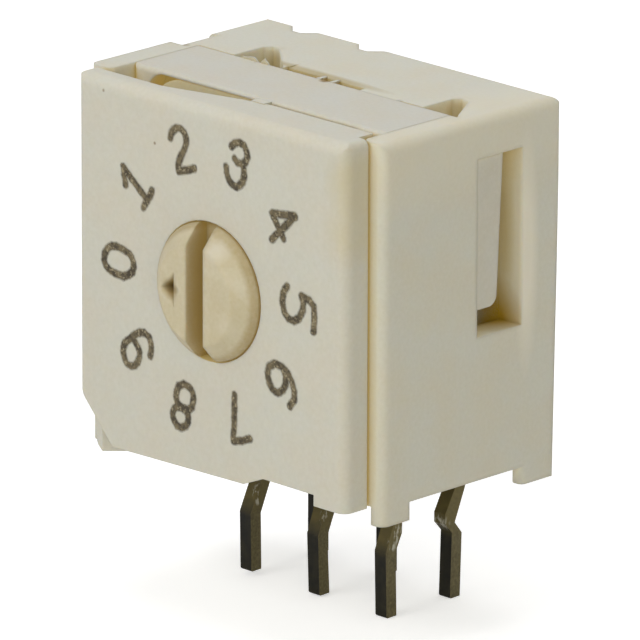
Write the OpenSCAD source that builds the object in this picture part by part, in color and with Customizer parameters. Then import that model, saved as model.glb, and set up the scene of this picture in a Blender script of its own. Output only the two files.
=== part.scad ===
// Rotary DIP switch, ten-position decimal code, right-angle mounting.
// The origin is the centre of the six terminals on the circuit board's surface.
// X runs across the dial, Y from the dial to the rear wall, Z up from the board.

/* [Dial cover] */
// Width of the cover's face
face_w = 10.16; // [9.2:0.02:13]
// Height of the cover's face
face_h = 10.16; // [9.2:0.02:13]
// Thickness of the cover plate
cover_t = 0.85; // [0.6:0.05:1.1]
// Radius of the cover's upright edges
cover_side_r = 0.3; // [0.1:0.05:0.4]
// Radius of the cover's top front edge
cover_top_r = 0.35; // [0.1:0.05:0.45]
// Radius of the cover's two top corners
cover_corner_r = 0.2; // [0.1:0.05:0.4]
// Size of the cut corner that tells which way up the switch goes
corner_cut = 1.35; // [0.9:0.05:1.8]
// How much lower the cover's bottom edge lies at the cut corner
bottom_slant = 0.11; // [0:0.01:0.15]
// How far back the cover's top ledge reaches
ledge_reach = 1.38; // [1:0.01:1.5]

/* [Right-angle housing] */
// How far the housing stands out past the cover on each side
side_over = 0.47; // [0.2:0.01:0.8]
// Distance from the dial's face to the housing's rear wall
depth = 7.64; // [7.4:0.02:10]
// Thickness of the side walls
wall_t = 0.8; // [0.6:0.02:1]
// Thickness of the roof
roof_t = 0.8; // [0.6:0.05:1]
// Groove between the cover and the ends of the side walls
cover_groove = 0.1; // [0.05:0.01:0.3]
// Slant of the rear wall from top to bottom
rear_draft = 0.22; // [0:0.02:0.3]
// Radius of the side walls' front edges
wall_front_r = 0.25; // [0.1:0.05:0.3]
// Radius of the roof's side edges
roof_side_r = 0.3; // [0.1:0.05:0.5]
// Radius of the roof's rear edge
roof_rear_r = 0.25; // [0.1:0.05:0.4]
// Height of the standoff feet under the housing
foot_h = 0.51; // [0.3:0.01:0.8]
// Thickness of the feet, from the housing's side inwards
foot_t = 0.42; // [0.3:0.02:0.6]
// Height of the side window
window_h = 4.94; // [4.3:0.01:6]
// Length of the side window
window_d = 1.7; // [1.2:0.1:2]

/* [Rotor] */
// Radius of the rotor where it fills the dial's hole
rotor_r = 1.9; // [1.6:0.05:2.1]
// Gap between the rotor and the dial's hole
rotor_gap = 0.04; // [0.03:0.01:0.08]
// How far the rotor's rim stands out
rotor_out = 0.17; // [0.1:0.01:0.5]
// Height of the rotor's cone above that rim
rotor_cone = 0.4; // [0.2:0.05:0.6]
// Radius of the rotor's flat end
rotor_flat_r = 1.38; // [1.1:0.02:1.5]
// Width of the screwdriver slot
slot_w = 0.65; // [0.4:0.05:0.9]
// Depth of the screwdriver slot
slot_d = 0.8; // [0.4:0.05:1]
// Number of positions
positions = 10; // [10:10]
// Radius of the click wheel
wheel_r = 2.6; // [2.4:0.05:2.8]
// Depth of a click notch
notch_d = 0.14; // [0.08:0.01:0.2]
// Radius of the disc that carries the code plate
disc_r = 3.4; // [3.4:0.05:3.6]

/* [Contacts] */
// Width of one code track
track_w = 0.45; // [0.36:0.01:0.5]
// Thickness of the code plate
plate_t = 0.12; // [0.1:0.01:0.15]
// Width of a contact spring
finger_w = 0.3; // [0.2:0.02:0.36]
// Thickness of a contact spring
finger_t = 0.1; // [0.06:0.01:0.12]

/* [Terminals] */
// Grid of the terminals, across and from row to row
pitch = 2.54; // [2.54:2.54]
// Width of a terminal, across
pin_x = 0.42; // [0.3:0.02:0.5]
// Thickness of a terminal, front to back
pin_y = 0.38; // [0.3:0.02:0.45]
// Length of the terminals below the board's surface
pin_len = 3.85; // [2.5:0.01:5]
// Height of the terminal rows above and below the rotor's axis
row_rise = 3.81; // [3.4:0.01:4]
// Distance from the dial's face to the front row of terminals
front_row = 4.12; // [4.05:0.01:4.3]

/* [Hidden] */
$fn = 64;

// Slack that keeps a cut clear of the face it opens
eps = 0.05;
// Gap round pieces that are pushed together
fit = 0.03;
// Gap between the block and the side walls that grip it
side_fit = 0.01;

// Heights are counted from the rotor's axis, and depths from the dial's face
cover_top = face_h / 2;
cover_bottom = -face_h / 2;
cover_low = cover_bottom - bottom_slant;
housing_top = cover_top - 0.08;
housing_bottom = cover_bottom + 0.04;
housing_w = face_w + 2 * side_over;
inner_half = housing_w / 2 - wall_t;
housing_front = cover_t + cover_groove;
axis_z = foot_h - housing_bottom;
face_y = -(front_row + pitch / 2);

// The block fills the space between the side walls
block_half = inner_half - side_fit;
block_front = 1.8;
block_rear = 4.25;
block_bottom = housing_bottom + 0.05;
recess_half = block_half - 0.55;
recess_top = housing_top - 0.1;
recess_bottom = block_bottom + 0.6;
recess_r = 0.6;
frame_r = 1.3;
block_edge_r = 0.15;

// The windows start behind the block, and the block's barbs snap into them
window_front = block_rear + 0.25;
window_top = housing_top - 1.1;

// Layers of the mechanism, from the dial back
collar_end = 1.48;
wheel_front = 1.54;
wheel_rear = 2.36;
frame_front = block_front + 0.06;
frame_rear = 2.4;
disc_front = 2.45;
disc_rear = 2.75;
well_floor = 3.42;
spindle_r = 0.5;
spindle_end = 3.85;
collar_r = wheel_r + 0.35;
seal_section = 0.28;
seal_seat_r = rotor_r + 2 * seal_section + 0.1;

step = 360 / positions;
track_pitch = 0.55;
function track_r(i) = 0.85 + i * track_pitch;
// True where the given position closes the given bit, 1 to 4 for the bits 1, 2, 4 and 8
function closed(pos, i) = floor(pos / pow(2, i - 1)) % 2 == 1;

module at_face() {
    translate([0, face_y, axis_z]) children();
}

// A shape drawn in X and Z, made solid from depth y0 back to y1
module slab(y0, y1) {
    translate([0, y1, 0]) rotate([90, 0, 0]) linear_extrude(y1 - y0) children();
}

// A shape drawn in Y and Z, made solid across from x0 to x1
module across(x0, x1) {
    translate([x0, 0, 0]) rotate([90, 0, 90]) linear_extrude(x1 - x0) children();
}

// A round piece about the rotor's axis, drawn as radius and depth
module turned() {
    rotate([-90, 0, 0]) rotate_extrude() children();
}

module rounded(w, h, r) {
    square([w - 2 * r, h], center = true);
    square([w, h - 2 * r], center = true);
    for (sx = [-1, 1], sz = [-1, 1]) translate([sx * (w / 2 - r), sz * (h / 2 - r)]) circle(r);
}

// A pie slice from the middle outwards, from angle a0 to a1, measured from +X towards +Z
module wedge(r, a0, a1) {
    steps = 4;
    far = r / cos((a1 - a0) / steps / 2);
    polygon(concat([[0, 0]], [for (i = [0:steps])
        let (a = a0 + (a1 - a0) * i / steps) far * [cos(a), sin(a)]]));
}

// The same shape on the right or, mirrored, on the left
module facing(side) {
    if (side < 0) mirror([1, 0, 0]) children();
    else children();
}

// What rounding off takes away from a square corner at the origin, with the material on its
// +X and +Y sides
module corner_waste(r) {
    difference() {
        translate([-eps, -eps]) square(r + eps);
        translate([r, r]) circle(r);
    }
}

module ring(r_in, r_out) {
    difference() {
        circle(r_out);
        circle(r_in);
    }
}

// Dial cover: a plate with a collar behind its hole, where the seal sits.
// The notch in its bottom edge is counted from the right
notch_right = face_w / 2 - 1.15;
notch_left = notch_right - 2.64;
notch_ramp = 0.74;
notch_h = 0.31;
module cover_outline() {
    half = face_w / 2;
    difference() {
        polygon([[-half, cover_top], [half, cover_top], [half, cover_bottom], [notch_right, cover_bottom],
            [notch_right, cover_bottom + notch_h], [notch_left + notch_ramp, cover_bottom + notch_h],
            [notch_left, cover_bottom], [-half + corner_cut, cover_low],
            [-half, cover_bottom + corner_cut]]);
        for (side = [-1, 1]) facing(side) translate([half, cover_top]) rotate(180)
            corner_waste(cover_corner_r);
    }
}

// Plan of the cover with its two upright front edges rounded
module cover_plan() {
    half = face_w / 2;
    r = cover_side_r;
    translate([-half, r]) square([face_w, cover_t - r]);
    translate([-half + r, 0]) square([face_w - 2 * r, cover_t]);
    for (side = [-1, 1]) translate([side * (half - r), r]) circle(r);
}

// Side view of the cover with its top front edge rounded
module cover_side_view() {
    r = cover_top_r;
    translate([0, cover_low]) square([cover_t, cover_top - r - cover_low]);
    translate([r, cover_low]) square([cover_t - r, cover_top - cover_low]);
    translate([r, cover_top - r]) circle(r);
}

// The top's rear edge starts in the plate, at the lip, and curves back to the ledge's full reach
lip_y = 0.6;
ledge_h = 0.45;
lip_h = 0.25;
ledge_right = inner_half - fit;
ledge_left = face_w / 2 - 7.5;
ledge_slope = 0.25;
function ledge_x(y) = ledge_left + (y - lip_y) / ledge_slope;
module cover_ledge() {
    translate([0, 0, cover_top - ledge_h]) linear_extrude(ledge_h)
        polygon([[ledge_left, lip_y], [ledge_x(ledge_reach - 0.18), ledge_reach - 0.18],
            [ledge_left + 3.4, ledge_reach], [ledge_right, ledge_reach], [ledge_right, lip_y]]);
    gate_stub();
}

// The moulding gate's stub stands out behind the ledge and a little above it
module gate_stub() {
    translate([ledge_left + 2.7, ledge_reach - 0.12, cover_top - 0.25]) cube([0.5, 0.3, 0.27]);
}

// The low step along the top's rear edge, left of the ledge
module cover_lip() {
    behind = cover_t + eps;
    translate([0, 0, cover_top - lip_h]) linear_extrude(lip_h + eps)
        polygon([[-face_w, lip_y], [ledge_left, lip_y], [ledge_x(behind), behind], [-face_w, behind]]);
}

module front_cover() {
    color([0.80, 0.78, 0.72]) at_face() difference() {
        union() {
            intersection() {
                slab(0, cover_t) cover_outline();
                translate([0, 0, cover_low]) linear_extrude(cover_top - cover_low) cover_plan();
                across(-face_w / 2, face_w / 2) cover_side_view();
            }
            cover_ledge();
            cut_foot();
            turned() translate([rotor_r + rotor_gap, cover_t - eps])
                square([collar_r - rotor_r - rotor_gap, collar_end - cover_t + eps]);
            cover_pegs();
        }
        // the hole for the rotor, wider behind for the seal
        turned() translate([0, -eps]) square([rotor_r + rotor_gap, depth]);
        turned() translate([0, cover_t]) square([seal_seat_r, depth]);
        cover_lip();
    }
}

// A thin foot stands on the board in the cut corner. It is set back from the dial's face, its
// outer side is bevelled at the bottom and its inner side slants back
cut_foot_front = 0.33;
cut_foot_left = 0.38 - face_w / 2;
cut_foot_w = 0.23;
module cut_foot() {
    board = -axis_z;
    join = cover_bottom + corner_cut;
    back = cover_t - cut_foot_front;
    inner = cut_foot_w + back;
    intersection() {
        translate([cut_foot_left, cut_foot_front, board]) linear_extrude(join - board)
            polygon([[0, 0], [cut_foot_w, 0], [inner, back], [0, back]]);
        translate([cut_foot_left, 0, board]) slab(0, cover_t + eps)
            polygon([[0, join - board], [0, 0.31], [0.06, 0.16], [cut_foot_w, 0], [inner, 0],
                [inner, join - board]]);
    }
}

// Four pegs behind the cover press into the block's corners
peg_r = 0.4;
peg_end = block_front + 1.2;
module peg_places() {
    for (sx = [-1, 1], sz = [-1, 1])
        translate([sx * (recess_half - 0.75), 0, sz * (cover_top - 1.55)]) children();
}

module cover_pegs() {
    peg_places() turned() translate([0, cover_t - eps]) square([peg_r, peg_end - cover_t + eps]);
}

// Frame behind the cover: it holds the two click springs against the rotor's wheel
frame_half = recess_half - fit;
frame_top = recess_top - fit;
frame_bottom = recess_bottom + fit;
spring_slot_half = 2.6;
spring_slot_h = 0.75;
module frame_outline(grow, r) {
    w = 2 * (frame_half + grow);
    h = frame_top - frame_bottom + 2 * grow;
    translate([0, (frame_top + frame_bottom) / 2]) rounded(w, h, r);
}

module detent_frame() {
    color([0.82, 0.77, 0.62]) at_face() difference() {
        slab(frame_front, frame_rear) frame_outline(0, frame_r);
        slab(frame_front - eps, frame_rear + eps) {
            circle(wheel_r + 0.12);
            for (side = [-1, 1]) translate([0, side * (wheel_r + spring_slot_h / 2)])
                square([2 * spring_slot_half, spring_slot_h], center = true);
        }
        peg_places() turned() translate([0, frame_front - eps]) square([peg_r + fit, 2]);
    }
}

// Click spring: a strip across the wheel with a bump over its middle
strip_t = 0.12;
bump_r = 0.5;
module detent_spring(side) {
    reach = spring_slot_half - fit;
    rise = wheel_r + 0.42;
    tip = wheel_r + 0.03;
    bump_middle = tip + bump_r;
    inside = bump_r - strip_t;
    color([0.72, 0.66, 0.50]) at_face() slab(frame_front + fit, frame_rear - fit)
        rotate(side > 0 ? 0 : 180) difference() {
            union() {
                translate([-reach, rise]) square([2 * reach, strip_t]);
                intersection() {
                    translate([0, bump_middle]) circle(bump_r);
                    translate([-bump_r, tip]) square([2 * bump_r, rise + strip_t - tip]);
                }
            }
            translate([0, bump_middle]) circle(inside);
            translate([-inside, bump_middle]) square([2 * inside, bump_r]);
        }
}

// Rotor: the turned body, cut by the screwdriver slot and the arrow's pit
rim_bevel = 0.07;
module rotor_profile() {
    polygon([[0, -rotor_out - rotor_cone], [rotor_flat_r, -rotor_out - rotor_cone],
        [rotor_r - rim_bevel, -rotor_out], [rotor_r, -rotor_out + 0.12], [rotor_r, wheel_front],
        [wheel_r, wheel_front],
        [wheel_r, wheel_rear], [wheel_r - 0.3, wheel_rear], [wheel_r - 0.3, disc_front],
        [disc_r, disc_front], [disc_r, disc_rear], [spindle_r, disc_rear],
        [spindle_r, spindle_end - 0.15], [spindle_r - 0.15, spindle_end], [0, spindle_end]]);
}

// The arrow points left, at the first digit
arrow_tip = 1.27;
arrow_base = 0.78;
arrow_half = 0.49;
arrow_pit = 0.45;
module arrow_pit_solid() {
    face = -rotor_out - rotor_cone;
    lift = 0.1;
    grow = 1 + lift / arrow_pit;
    base = [[-arrow_tip, 0], [-arrow_base, arrow_half], [-arrow_base, -arrow_half]];
    deep = [-arrow_base - 0.03, face + arrow_pit, 0];
    rim = [for (p = base) deep + ([p[0], face, p[1]] - deep) * grow];
    polyhedron([rim[0], rim[1], rim[2], deep], [[0, 1, 2], [0, 3, 1], [1, 3, 2], [2, 3, 0]]);
}

module rotor() {
    face = -rotor_out - rotor_cone;
    color([0.80, 0.76, 0.63]) at_face() difference() {
        turned() rotor_profile();
        // the slot runs right across the rotor's end
        translate([-slot_w / 2, face - eps, -rotor_r - eps])
            cube([slot_w, slot_d + eps, 2 * (rotor_r + eps)]);
        arrow_pit_solid();
        // click notches round the wheel
        for (i = [0:positions - 1]) rotate([0, i * step + 90, 0])
            translate([wheel_r + bump_r - notch_d + strip_t, 0, 0])
                turned() translate([0, wheel_front - eps]) square([bump_r + strip_t, 1.5]);
        // the code plate lies flush in the disc
        slab(disc_rear - plate_t, disc_rear + eps) code_shape();
    }
}

// Seal: a rubber ring round the rotor's neck
module shaft_seal() {
    color([0.15, 0.15, 0.15]) at_face() turned()
        translate([rotor_r + fit + seal_section, (cover_t + collar_end) / 2 + 0.02])
            circle(seal_section);
}

// Code plate: a ring for the common contact and, outside it, four bit tracks.
// Position 0 stands left of the axis, and the digits go round clockwise.
spoke_a = 1.6;
function reading_angle(pos) = 90 - pos * step;
module code_shape() {
    inner = track_r(0) - track_w / 2;
    ring(inner, track_r(1) - track_w / 2);
    for (i = [1:4], pos = [0:positions - 1]) if (closed(pos, i)) {
        // neighbouring tracks that are both closed join up
        up = i < 4 && closed(pos, i + 1) ? track_pitch : track_w;
        a = -reading_angle(pos) + 180;
        intersection() {
            ring(track_r(i) - track_w / 2, track_r(i) - track_w / 2 + up);
            wedge(disc_r + 1, a - step / 2, a + step / 2);
        }
    }
    // one spoke feeds the outermost track between two positions
    a = -reading_angle(positions - 0.5) + 180;
    intersection() {
        ring(inner, track_r(4) + track_w / 2);
        wedge(disc_r + 1, a - step / 2, a - step / 2 + spoke_a * 3);
    }
}

module code_plate() {
    color([0.78, 0.68, 0.38]) at_face() slab(disc_rear - plate_t, disc_rear) code_shape();
}

// Contact springs: each lies in the well, tied to its terminal at the foot,
// and rises to touch its own track straight above the axis
foot_reach = 1.75;
foot_start = 1.1;
function finger_side(i) = i % 2 == 0 ? -1 : 1;
module contact_spring(i) {
    z = track_r(i);
    touch = disc_rear + 0.02;
    foot_y = well_floor - finger_t;
    color([0.80, 0.70, 0.42]) at_face() facing(finger_side(i))
        translate([0, 0, z - finger_w / 2]) linear_extrude(finger_w)
            polygon([[foot_reach, well_floor], [foot_reach, foot_y], [foot_start, foot_y],
                [0.28, touch + 0.1], [0.1, touch], [-0.1, touch], [-0.28, touch + 0.1],
                [-0.22, touch + 0.17], [0, touch + finger_t], [0.22, touch + 0.2],
                [foot_start - 0.05, well_floor]]);
}

// Terminals, named by what they carry. The lower row turns down straight behind the block,
// the upper row runs back under the roof and turns down in the rear wall's channels.
function column_x(c) = (c - 1) * pitch;
lead_top_front = -row_rise;
lead_top_rear = row_rise;
rear_row = front_row + pitch;
front_drop = front_row + 0.3;
rear_drop = rear_row + 0.22;
tip_z = -axis_z - pin_len;
head_front = 3.72;
bend_r = 0.25;

// Side view of a lead: a run back from its head, a bend of true radius and a leg.
// The leg's outline goes down its rear side, round the tip and up its front side.
module lead_view(top, drop, leg) {
    hy = pin_y / 2;
    middle = [drop - hy - bend_r, top - hy - bend_r];
    outer_r = bend_r + pin_y;
    difference() {
        union() {
            polygon(concat([[head_front, top - hy], [head_front, top + hy], [drop + hy, top + hy]],
                leg, [[drop - hy, top - hy]]));
            translate(middle) square(bend_r + eps);
        }
        translate(middle) circle(bend_r);
        translate(middle) difference() {
            square(outer_r + eps);
            circle(outer_r);
        }
    }
}

// The tip has a small bevel on its front edge
function tip_outline(row) = [[row + pin_y / 2, tip_z + 0.02], [row - pin_y / 2 + 0.1, tip_z],
    [row - pin_y / 2, tip_z + 0.1]];

// Below the housing the front leads step forward onto their row
function front_leg() = let (hy = pin_y / 2, z = -axis_z - 1.3, row = front_row) concat(
    [[front_drop + hy, z], [row + hy, z - 0.65]], tip_outline(row),
    [[row - hy, z - 0.65], [front_drop - hy, z]]);

// The rear leads swing forward past their row and back
function rear_leg() = let (hy = pin_y / 2, z = -axis_z, row = rear_row, over = row - 0.1) concat(
    [[rear_drop + hy, z - 0.6], [over + hy, z - 1.62], [row + hy, z - 1.9]], tip_outline(row),
    [[row - hy, z - 2.05], [over - hy, z - 1.72], [over - hy, z - 1.52], [rear_drop - hy, z - 0.6]]);

module lead(row, column) {
    translate([column_x(column), 0, 0]) across(-pin_x / 2, pin_x / 2)
        if (row == 0) lead_view(lead_top_front, front_drop, front_leg());
        else lead_view(lead_top_rear, rear_drop, rear_leg());
}

// A conductor in the block's floor joins a lead's head to the foot of its spring
link_t = 0.18;
link_w = 0.42;
module link_bar(x0, z0, x1, z1) {
    slab(head_front - link_t, head_front + eps)
        translate([min(x0, x1) - link_w / 2, min(z0, z1) - link_w / 2])
            square([abs(x1 - x0) + link_w, abs(z1 - z0) + link_w]);
}

// Each conductor turns once: level with its spring, or for the common one level with its lead
module link(row, column, i) {
    x0 = column_x(column);
    z0 = row == 0 ? lead_top_front : lead_top_rear;
    x1 = finger_side(i) * (foot_reach - link_w / 2);
    z1 = track_r(i);
    turn = i == 0 ? [x1, z0] : [x0, z1];
    link_bar(x0, z0, turn[0], turn[1]);
    link_bar(turn[0], turn[1], x1, z1);
    // a stud reaches through the well's floor to the spring's foot
    translate([x1 - link_w / 2, well_floor, z1 - finger_w / 2])
        cube([link_w, head_front - well_floor, finger_w]);
}

// The rear common lead is joined to the side of the front one's conductor
module rear_common_link() {
    z1 = track_r(0);
    x1 = finger_side(0) * (foot_reach - link_w);
    link_bar(0, lead_top_rear, 0, z1);
    slab(head_front - link_t, head_front + eps) translate([x1, z1 - link_w / 2])
        square([-x1, link_w]);
}

lead_colour = [0.32, 0.30, 0.24];
module terminal(row, column, i) {
    color(lead_colour) at_face() {
        lead(row, column);
        link(row, column, i);
    }
}

module terminal_common_rear() {
    color(lead_colour) at_face() {
        lead(1, 1);
        rear_common_link();
    }
}

// Block: the cup that holds the mechanism and carries the terminals
well_r = disc_r + 0.27;
block_floor_rear = 4.04;
shelf_t = 0.7;
arm_t = 0.5;
barb_front = window_front + 0.1;
barb_rear = barb_front + 1;
barb_top = window_top - 0.06;
barb_bottom = barb_top - 4.18;
barb_taper = 0.2;
module contact_block() {
    color([0.80, 0.79, 0.75]) at_face() difference() {
        union() {
            intersection() {
                across(-block_half, block_half) block_side_view();
                translate([0, 0, block_bottom]) linear_extrude(housing_top - block_bottom) block_plan();
            }
            snap_arms();
        }
        slab(block_front - eps, frame_rear) frame_outline(fit, recess_r);
        turned() translate([0, frame_rear - eps]) square([well_r, well_floor - frame_rear + eps]);
        turned() translate([0, well_floor - eps])
            square([spindle_r + rotor_gap, spindle_end + 0.05 - well_floor + eps]);
        peg_places() turned() translate([0, block_front - eps])
            square([peg_r, peg_end + 0.1 - block_front + eps]);
        terminals_space();
    }
}

// Side view of the block: its top shelf reaches back to the roof
module block_side_view() {
    difference() {
        union() {
            translate([block_front, block_bottom])
                square([block_floor_rear - block_front, housing_top - block_bottom]);
            translate([block_front, housing_top - shelf_t]) square([block_rear - block_front, shelf_t]);
        }
        translate([block_front, housing_top]) mirror([0, 1]) corner_waste(block_edge_r);
    }
}

// Plan of the block, with its two upright front edges rounded
module block_plan() {
    difference() {
        translate([-block_half, block_front]) square([2 * block_half, block_rear - block_front]);
        for (side = [-1, 1]) facing(side) translate([-block_half, block_front]) corner_waste(block_edge_r);
    }
}

// Two springy arms with barbs that snap into the housing's windows
module snap_arms() {
    for (side = [-1, 1]) facing(side) {
        translate([block_half - arm_t, block_rear - 0.5, barb_bottom])
            cube([arm_t, barb_rear - barb_taper - block_rear + 0.5, barb_top - barb_bottom]);
        translate([block_half - eps, 0, 0]) across(0, wall_t - 0.15 + eps) barb_view();
    }
}

// A barb is narrower at the bottom, where its rear corner is rounded
module barb_view() {
    r = 0.3;
    low_rear = barb_rear - barb_taper;
    translate([barb_front, barb_bottom]) square([low_rear - barb_front - r, r + eps]);
    translate([low_rear - r, barb_bottom + r]) circle(r);
    polygon([[barb_front, barb_bottom + r], [low_rear, barb_bottom + r], [barb_rear, barb_top],
        [barb_front, barb_top]]);
}

module terminals_space() {
    for (row = [0, 1], column = [0:2]) lead(row, column);
    link(0, 1, 0);
    link(0, 2, 1);
    link(0, 0, 2);
    link(1, 2, 3);
    link(1, 0, 4);
    rear_common_link();
}

// Housing: the right-angle shell that the block is pushed into from the front
rear_inner = rear_drop - pin_y / 2 - 0.5;
roof_front = block_rear + 0.04;
channel_w = pin_x + 0.16;
rear_corner_r = 0.1;
nick_rear = roof_front + 1.1;
nick_w = 1.42;
nick_d = 0.45;
nick_h = 1;
module housing_section() {
    half = housing_w / 2;
    difference() {
        translate([-half, housing_front]) square([housing_w, depth - housing_front]);
        for (side = [-1, 1]) facing(side) {
            // both front edges of a side wall
            translate([-half, housing_front]) corner_waste(wall_front_r);
            translate([inner_half, housing_front]) corner_waste(wall_front_r);
            translate([half, depth]) rotate(180) corner_waste(rear_corner_r);
        }
    }
}

// The roof's outer edges are rounded, but the left wall's top stays sharp in front of its nick
module roof_edges() {
    half = housing_w / 2;
    slab(0, depth + 1) translate([half, housing_top]) rotate(180) corner_waste(roof_side_r);
    slab(nick_rear, depth + 1) translate([-half, housing_top]) mirror([0, 1]) corner_waste(roof_side_r);
    across(-half - 1, half + 1) translate([depth, housing_top]) rotate(180) corner_waste(roof_rear_r);
}

// Two upright grooves in the rear wall, with sides that slant at 45 degrees, counted from the left
groove_left = 1 - housing_w / 2;
groove_d = 0.55;
groove_floor_w = 0.3;
module rear_groove() {
    w = groove_floor_w + 2 * groove_d;
    polygon([[0, depth + eps], [0, depth], [groove_d, depth - groove_d],
        [groove_d + groove_floor_w, depth - groove_d], [w, depth], [w, depth + eps]]);
}

module rear_grooves() {
    translate([0, 0, housing_bottom - foot_h - eps]) linear_extrude(face_h + foot_h + 1) {
        translate([groove_left, 0]) rear_groove();
        translate([groove_left + pitch, 0]) rear_groove();
    }
}

// Openings in the roof's front edge: two pockets that narrow to the rear, and a slit right of
// the first one
pocket_a_w = 1.85;
pocket_a_left = 1.35 - inner_half;
pocket_b_w = 1.3;
pocket_b_left = inner_half + 0.27 - pocket_b_w;
slit = 0.24;
slit_w = 2.9;
module pocket(w) {
    polygon([[0, 0], [w, 0], [w - 0.15, 0.2], [0.5, 1.25], [0.15, 1.35], [0, 1.15]]);
}

module roof_openings() {
    translate([0, roof_front - eps, housing_top - 2]) linear_extrude(2 + eps) {
        translate([pocket_a_left, 0]) pocket(pocket_a_w);
        translate([pocket_b_left, 0]) pocket(pocket_b_w);
        translate([pocket_a_left + pocket_a_w - eps, 0]) square([slit_w, slit + eps]);
    }
}

// A soft chamfer on the roof's front edge, behind the slit, wide at the left and fine at the right
chamfer_left = pocket_a_left + pocket_a_w;
chamfer_full = chamfer_left + 1.3;
chamfer_right = chamfer_left + 4.4;
module roof_chamfer() {
    lift = 0.02;
    wide = 0.9;
    fine = 0.25;
    drop = 0.06;
    translate([0, roof_front, housing_top]) polyhedron(
        [[chamfer_left, -eps, lift], [chamfer_full, -eps, lift], [chamfer_right, -eps, lift],
         [chamfer_left, wide, lift], [chamfer_full, wide, lift], [chamfer_right, fine, lift],
         [chamfer_left, -eps, -drop], [chamfer_full, -eps, -drop], [chamfer_right, -eps, -drop / 2]],
        [[0, 3, 4, 1], [1, 4, 5, 2], [0, 1, 7, 6], [1, 2, 8, 7], [3, 6, 7], [3, 7, 4],
         [4, 7, 8], [4, 8, 5], [0, 6, 3], [2, 5, 8]]);
}

module outer_housing() {
    height = housing_top - housing_bottom;
    color([0.81, 0.80, 0.76]) at_face() difference() {
        union() {
            translate([0, 0, housing_bottom]) linear_extrude(height) housing_section();
            housing_feet();
        }
        // room for the block, open at the front and at the top
        translate([-inner_half, 0, housing_bottom - foot_h - eps])
            cube([2 * inner_half, roof_front, height + foot_h + 1]);
        // room for the leads behind it, open below
        translate([-inner_half, roof_front - eps, housing_bottom - foot_h - eps])
            cube([2 * inner_half, rear_inner - roof_front + eps, height + foot_h - roof_t + eps]);
        lead_channels();
        rear_grooves();
        // the rear wall leans in towards the bottom
        low = housing_bottom - foot_h - eps;
        across(-housing_w, housing_w) polygon([[depth, housing_top + eps], [depth + 1, housing_top + eps],
            [depth + 1, low], [depth - rear_draft, low]]);
        roof_openings();
        roof_chamfer();
        roof_edges();
        housing_windows();
        // the nick in the left wall's top edge
        translate([-housing_w / 2 - eps, nick_rear - nick_w, housing_top - nick_h])
            cube([nick_d + eps, nick_w, nick_h + eps]);
    }
}

// A channel for each rear lead, along the roof's underside and down the rear wall
module lead_channels() {
    top = row_rise + pin_y / 2 + 0.1;
    rear = rear_drop + pin_y / 2 + 0.08;
    for (column = [0:2])
        translate([column_x(column) - channel_w / 2, roof_front - eps, housing_bottom - eps])
            cube([channel_w, rear - roof_front + eps, top - housing_bottom + eps]);
}

module housing_windows() {
    for (side = [-1, 1]) facing(side)
        translate([inner_half - eps, window_front, window_top - window_h])
            cube([wall_t + 2 * eps, window_d, window_h]);
}

// Feet: short walls at the front corners, rounded pads at the rear corners
front_foot_d = 1.03;
rear_foot_d = 1.17;
module housing_feet() {
    half = housing_w / 2;
    pad_r = 0.15;
    top = housing_bottom + eps;
    bottom = housing_bottom - foot_h;
    for (side = [-1, 1]) facing(side) {
        intersection() {
            translate([0, 0, bottom]) linear_extrude(top - bottom) housing_section();
            translate([half - foot_t, housing_front, bottom]) cube([foot_t, front_foot_d, top - bottom]);
        }
        // a pad's rear end is trimmed flush with the rear wall
        intersection() {
            translate([0, 0, bottom]) linear_extrude(top - bottom) housing_section();
            translate([half - foot_t / 2, depth - rear_draft, bottom])
                linear_extrude(top - bottom) rounded(foot_t, 2 * rear_foot_d, pad_r);
        }
    }
}

front_cover();
outer_housing();
contact_block();
detent_frame();
rotor();
shaft_seal();
code_plate();
detent_spring(1);  // detent_spring_top
detent_spring(-1);  // detent_spring_bottom
contact_spring(0);  // contact_spring_common
contact_spring(1);  // contact_spring_1
contact_spring(2);  // contact_spring_2
contact_spring(3);  // contact_spring_4
contact_spring(4);  // contact_spring_8
terminal(0, 1, 0);  // terminal_common_front
terminal(0, 2, 1);  // terminal_1
terminal(0, 0, 2);  // terminal_2
terminal(1, 2, 3);  // terminal_4
terminal(1, 0, 4);  // terminal_8
terminal_common_rear();
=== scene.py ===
# Rotary DIP switch with ten positions, for right-angle mounting.
# Lengths are in metres. X runs across the dial, Y from the dial to the rear, Z up from the board.
import math

import bmesh
import bpy
from mathutils import Matrix, Vector


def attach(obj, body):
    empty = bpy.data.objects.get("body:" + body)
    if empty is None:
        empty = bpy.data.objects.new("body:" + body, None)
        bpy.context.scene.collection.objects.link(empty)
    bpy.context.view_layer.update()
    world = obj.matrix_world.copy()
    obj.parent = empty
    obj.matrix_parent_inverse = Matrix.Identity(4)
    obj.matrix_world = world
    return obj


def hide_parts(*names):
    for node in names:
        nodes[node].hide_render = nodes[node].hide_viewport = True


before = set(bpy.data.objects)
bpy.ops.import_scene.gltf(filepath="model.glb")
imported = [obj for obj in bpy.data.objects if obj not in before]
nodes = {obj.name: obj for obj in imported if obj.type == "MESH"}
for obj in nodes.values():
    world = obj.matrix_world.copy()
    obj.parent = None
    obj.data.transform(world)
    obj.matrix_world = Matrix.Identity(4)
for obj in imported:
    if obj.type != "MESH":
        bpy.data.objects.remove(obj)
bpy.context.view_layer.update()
MM = 0.001

# Dial cover.
# A square plate moulded in off-white glass-filled polyester, with a matt, faintly mottled skin.
# It closes the front of the switch, and its pegs are pressed into the contact block.


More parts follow.
